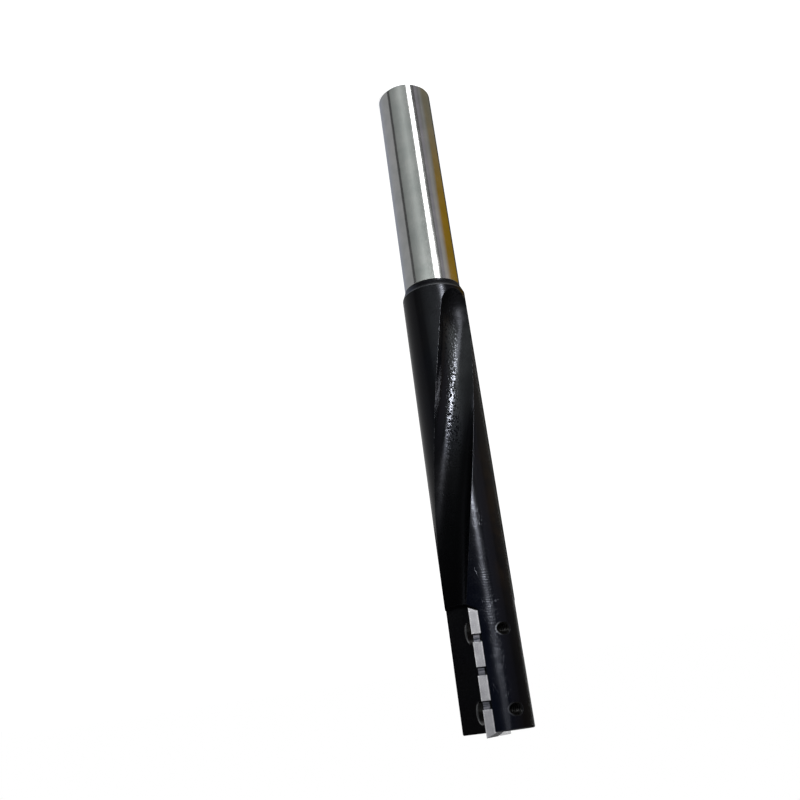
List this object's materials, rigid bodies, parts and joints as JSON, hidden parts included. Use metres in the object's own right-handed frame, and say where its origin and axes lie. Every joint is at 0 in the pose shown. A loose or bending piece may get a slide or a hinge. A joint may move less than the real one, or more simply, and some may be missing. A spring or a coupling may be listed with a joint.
{
  "type": "mortise router bit",
  "caption": "Long two-flute mortise router bit with a plain round shank and reversible carbide knives screwed into pockets at the tip.",
  "frame": {"origin": "centre of the flat shank end, which the bit stands on", "axes": "+Z along the tool axis from the shank end to the cutting tip; the front knife's rake face lies in the plane X = 0, faces -X and has its edge on the +Y side"},
  "size_m": [0.018, 0.02, 0.19],
  "materials": {
    "body_steel": "blackened steel on the fluted body, ground bright on the shank",
    "knife_carbide": "fine-ground tungsten carbide",
    "screw_steel": "black oxide"
  },
  "bodies": {
    "root": {"cutter_body": "body_steel", "knife_front": "knife_carbide", "knife_back": "knife_carbide", "knife_screws": "screw_steel"}
  },
  "joints": []
}
